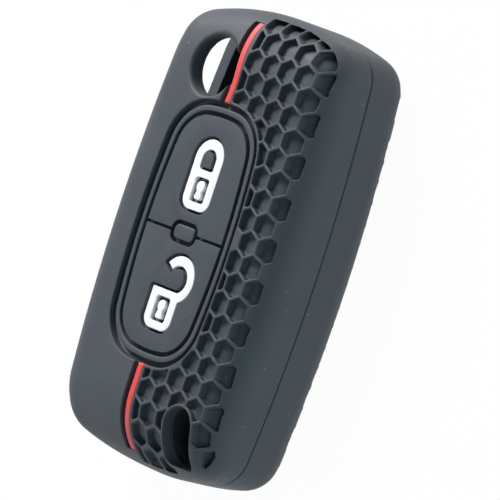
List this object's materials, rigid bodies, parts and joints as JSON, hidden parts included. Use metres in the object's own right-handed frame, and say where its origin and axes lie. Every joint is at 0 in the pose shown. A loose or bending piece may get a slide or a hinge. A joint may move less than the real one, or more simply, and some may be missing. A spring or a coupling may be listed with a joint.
{
  "type": "key fob cover",
  "caption": "Stretchy rubber cover for a folding car key: rounded sleeve with press pads, padlock signs, red stripes, a honeycomb grip, a blade slot and a key-ring hole.",
  "frame": {"origin": "middle of the back face, on which the cover lies", "axes": "+X across the cover towards the honeycomb, +Y along it towards the release hole, +Z out of the buttons"},
  "size_m": [0.0426, 0.077, 0.02],
  "materials": {
    "sleeve_silicone": "matt moulded silicone, charcoal black",
    "pad_silicone": "matt moulded silicone, charcoal black, a little smoother than the sleeve",
    "white_silicone": "satin white silicone",
    "red_silicone": "satin red silicone"
  },
  "bodies": {
    "cover": {"sleeve": "sleeve_silicone", "indicator": "pad_silicone", "lock_web": "pad_silicone", "unlock_web": "pad_silicone", "upper_stripe": "red_silicone", "lower_stripe": "red_silicone"},
    "lock_button": {"lock_pad": "pad_silicone", "lock_sign": "white_silicone", "lock_keyhole": "white_silicone"},
    "unlock_button": {"unlock_pad": "pad_silicone", "unlock_sign": "white_silicone", "unlock_keyhole": "white_silicone"}
  },
  "joints": [
    {"name": "lock_press", "type": "slide", "parent": "cover", "child": "lock_button", "axis": [0, 0, -1], "range_m": [0, 0.0008], "stiffness_N_per_m": 1500, "deforming": ["lock_web"]},
    {"name": "unlock_press", "type": "slide", "parent": "cover", "child": "unlock_button", "axis": [0, 0, -1], "range_m": [0, 0.0008], "stiffness_N_per_m": 1500, "deforming": ["unlock_web"]}
  ]
}
